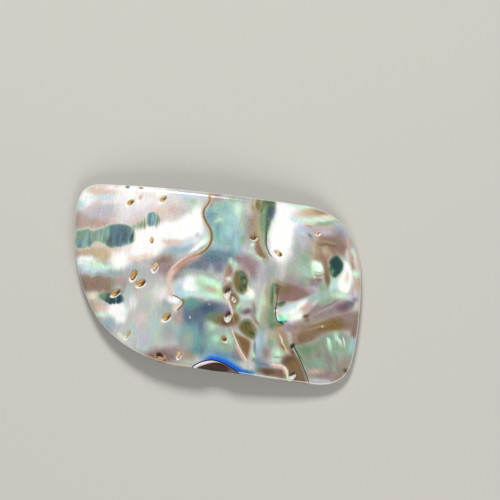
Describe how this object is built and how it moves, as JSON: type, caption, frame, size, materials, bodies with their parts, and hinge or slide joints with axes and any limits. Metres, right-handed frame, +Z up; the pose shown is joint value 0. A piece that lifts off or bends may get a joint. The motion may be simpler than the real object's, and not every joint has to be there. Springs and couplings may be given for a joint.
{
  "type": "polished paua shell piece",
  "caption": "Freeform polished piece of paua abalone shell: bowed slab with a rounded rim, boring pits in the crown and a slanted scoop in one long edge; rests on narrow ground lands.",
  "frame": {"origin": "under the middle of the piece's box, on the surface that it rests on", "axes": "+X along the piece's length, +Y across it towards the long straight edge, +Z up out of the crown"},
  "size_m": [0.0516, 0.0318, 0.0056],
  "materials": {
    "nacre": "polished iridescent nacre, pearl white to sea green with taupe and moss green patches"
  },
  "bodies": {
    "root": {"paua_shell_piece": "nacre"}
  },
  "joints": []
}
